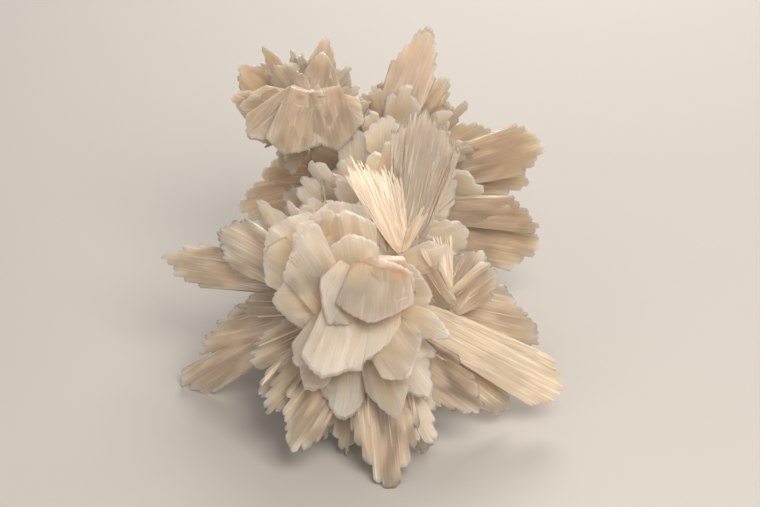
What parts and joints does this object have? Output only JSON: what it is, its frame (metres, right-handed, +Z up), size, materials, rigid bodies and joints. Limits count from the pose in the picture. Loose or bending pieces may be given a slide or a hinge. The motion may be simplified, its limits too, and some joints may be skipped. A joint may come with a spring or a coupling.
{
  "type": "mineral specimen",
  "caption": "Hydroboracite specimen: intergrown bursts of flat, toothed, milky white crystal blades with silky fans, standing on its own blade ends",
  "frame": {"origin": "middle of the cluster's footprint, on the plane that it stands on", "axes": "+Z up, -Y towards the viewer of the front burst, +X to that viewer's right"},
  "size_m": [0.0612, 0.0744, 0.0427],
  "materials": {
    "crystal": "milky, silky gloss"
  },
  "bodies": {
    "root": {"crystal_cluster": "crystal"}
  },
  "joints": []
}
